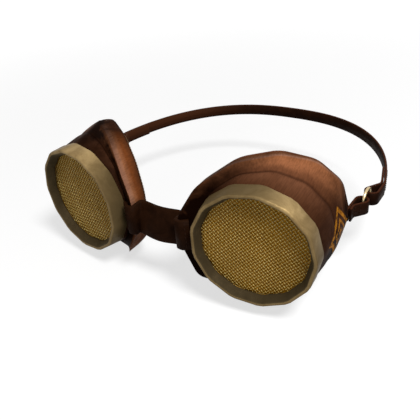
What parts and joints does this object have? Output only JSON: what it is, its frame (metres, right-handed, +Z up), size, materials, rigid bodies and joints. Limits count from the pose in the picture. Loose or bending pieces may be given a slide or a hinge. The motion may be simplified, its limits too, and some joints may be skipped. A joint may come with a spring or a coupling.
{
  "type": "costume goggles",
  "caption": "Leather eyecup goggles with screw-on many-sided bezels, wire mesh over amber lenses, a leather nose bridge and a head strap hung on brass rings.",
  "frame": {"origin": "between the eyes, in the plane of the centres of the two face rims, level with the lens centres", "axes": "+X to the wearer's left, +Y towards the back of the head, +Z up as worn; the wearer looks along -Y"},
  "size_m": [0.1606, 0.1512, 0.0666],
  "materials": {
    "cup_leather": "polished red-brown",
    "dark_leather": "dark brown, fine grain",
    "strap_leather": "oiled dark brown",
    "bezel_metal": "dull aged tan",
    "brass": "bright",
    "screen_wire": "aged",
    "amber_glass": "clear, tinted",
    "rubber": "matte"
  },
  "bodies": {
    "goggle_frame": {"cup_left": "cup_leather", "cup_right": "cup_leather", "face_pad_left": "dark_leather", "face_pad_right": "dark_leather", "lens_collar_left": "brass", "lens_collar_right": "brass", "lens_gasket_left": "rubber", "lens_gasket_right": "rubber", "bridge": "dark_leather", "side_tab_left": "strap_leather", "side_tab_right": "strap_leather"},
    "lens_pack_left": {"lens_left": "amber_glass", "mesh_screen_left": "screen_wire"},
    "lens_pack_right": {"lens_right": "amber_glass", "mesh_screen_right": "screen_wire"},
    "bezel_left": {"bezel_left": "bezel_metal"},
    "bezel_right": {"bezel_right": "bezel_metal"},
    "ring_left": {"side_ring_left": "brass"},
    "ring_right": {"side_ring_right": "brass"},
    "head_strap": {"strap": "strap_leather"}
  },
  "joints": [
    {"name": "left_lens_slide", "type": "slide", "parent": "goggle_frame", "child": "lens_pack_left", "axis": [0.1564, -0.9877, 0], "range_m": [0, 0.00301]},
    {"name": "left_bezel_turn", "type": "hinge", "parent": "lens_pack_left", "child": "bezel_left", "pos_m": [0.0487, -0.0338, 0], "axis": [0.1564, -0.9877, 0], "range_deg": [0, 720]},
    {"name": "right_lens_slide", "type": "slide", "parent": "goggle_frame", "child": "lens_pack_right", "axis": [-0.1564, -0.9877, 0], "range_m": [0, 0.00301]},
    {"name": "right_bezel_turn", "type": "hinge", "parent": "lens_pack_right", "child": "bezel_right", "pos_m": [-0.0487, -0.0338, 0], "axis": [-0.1564, -0.9877, 0], "range_deg": [0, 720]},
    {"name": "left_ring_swing", "type": "hinge", "parent": "goggle_frame", "child": "ring_left", "pos_m": [0.0759, 0.0219, 0], "axis": [0, 0, 1], "range_deg": [-30, 30]},
    {"name": "right_ring_swing", "type": "hinge", "parent": "goggle_frame", "child": "ring_right", "pos_m": [-0.0759, 0.0219, 0], "axis": [0, 0, 1], "range_deg": [-30, 30]},
    {"name": "strap_pivot", "type": "hinge", "parent": "ring_left", "child": "head_strap", "pos_m": [0.0759, 0.03202, 0], "axis": [0, 0, 1], "range_deg": [-30, 30]}
  ],
  "couplings": [
    {"joint": "left_lens_slide", "follows": "left_bezel_turn", "m_per_rad": 0.00023873},
    {"joint": "right_lens_slide", "follows": "right_bezel_turn", "m_per_rad": 0.00023873},
    {"joint": "right_ring_swing", "follows": "left_ring_swing", "ratio": 1},
    {"joint": "strap_pivot", "follows": "left_ring_swing", "ratio": -1}
  ]
}
